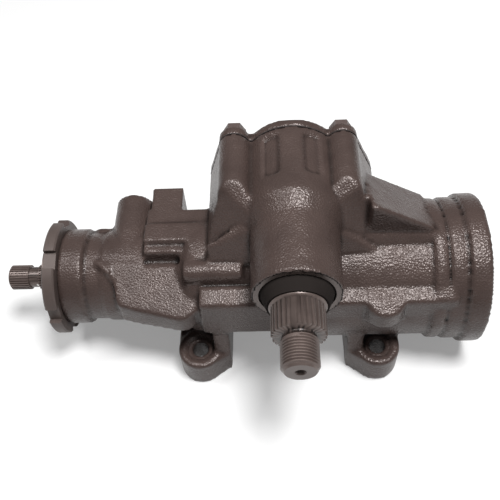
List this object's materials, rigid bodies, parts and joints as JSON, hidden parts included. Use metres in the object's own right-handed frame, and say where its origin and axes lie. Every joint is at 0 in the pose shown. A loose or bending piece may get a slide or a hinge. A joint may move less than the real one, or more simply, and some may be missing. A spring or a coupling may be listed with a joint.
{
  "type": "steering gearbox",
  "caption": "Recirculating-ball power steering gear: cast housing with frame feet, splined input stub, rack piston and sector shaft with pitman spline and thread.",
  "frame": {"origin": "centre of the four frame bolts, on the frame face that the feet stand on", "axes": "+X along the worm from the input stub to the cylinder end, -Y along the sector shaft to the pitman spline, +Z away from the frame"},
  "size_m": [0.3172, 0.1768, 0.138],
  "materials": {
    "housing_iron": "pebbled cast iron under a dark brown-grey semi-gloss coat",
    "cover_iron": "cast iron under the same coat",
    "gasket": "matt",
    "bolt_steel": "coated steel",
    "shaft_steel": "machined steel, lightly oiled",
    "bearing_steel": "ground steel",
    "plug_steel": "turned steel",
    "zinc_nut": "dull zinc plating",
    "seal_rubber": "satin black",
    "bronze": "turned",
    "ring_plastic": "filled seal plastic"
  },
  "bodies": {
    "housing": {"gear_housing": "housing_iron", "side_cover": "cover_iron", "side_cover_gasket": "gasket", "side_cover_bolts": "bolt_steel", "lash_adjuster_screw": "shaft_steel", "adjuster_locknut": "zinc_nut", "cover_bush": "bronze", "sector_bearing_shell": "bearing_steel", "sector_needles": "bearing_steel", "sector_oil_seal": "seal_rubber", "sector_seal_washer": "bearing_steel", "sector_dust_seal": "seal_rubber", "sector_retaining_ring": "plug_steel", "end_plug": "cover_iron", "end_plug_oring": "seal_rubber", "end_plug_retaining_ring": "plug_steel", "adjuster_plug": "plug_steel", "adjuster_plug_oring": "seal_rubber", "plug_locknut": "zinc_nut", "stub_bearing_shell": "bearing_steel", "stub_needles": "bearing_steel", "stub_seal": "seal_rubber", "stub_seal_ring": "plug_steel", "upper_thrust_bearing": "bearing_steel", "lower_thrust_bearing": "bearing_steel", "pressure_port_seat": "bronze", "return_port_seat": "bronze"},
    "sector": {"sector_shaft": "shaft_steel"},
    "rack": {"rack_piston": "plug_steel", "piston_ring": "ring_plastic", "piston_ring_oring": "seal_rubber", "piston_end_plug": "plug_steel", "worm_balls": "bearing_steel", "ball_return_guide": "zinc_nut", "guide_clamp": "zinc_nut", "guide_screws": "bolt_steel"},
    "worm": {"worm": "bearing_steel", "valve_body": "plug_steel", "valve_body_rings": "ring_plastic", "valve_drive_pin": "bearing_steel", "worm_pin": "bearing_steel", "torsion_bar": "bearing_steel"},
    "stub": {"stub_shaft": "shaft_steel", "spool_valve": "bearing_steel", "spool_pin": "bearing_steel", "stub_pin": "bearing_steel"}
  },
  "joints": [
    {"name": "worm_spin", "type": "hinge", "parent": "housing", "child": "worm", "pos_m": [0, 0, 0.052], "axis": [1, 0, 0], "range_deg": [-630, 630]},
    {"name": "rack_slide", "type": "slide", "parent": "housing", "child": "rack", "axis": [1, 0, 0], "range_m": [-0.0189, 0.0189]},
    {"name": "sector_swing", "type": "hinge", "parent": "housing", "child": "sector", "pos_m": [0.005, 0, 0.106], "axis": [0, 1, 0], "range_deg": [-36.05, 36.05]},
    {"name": "valve_twist", "type": "hinge", "parent": "worm", "child": "stub", "pos_m": [0, 0, 0.052], "axis": [1, 0, 0], "range_deg": [-7, 7], "stiffness_Nm_per_rad": 60}
  ],
  "couplings": [
    {"joint": "rack_slide", "follows": "worm_spin", "m_per_rad": -0.0017143},
    {"joint": "sector_swing", "follows": "worm_spin", "ratio": 0.057143}
  ]
}
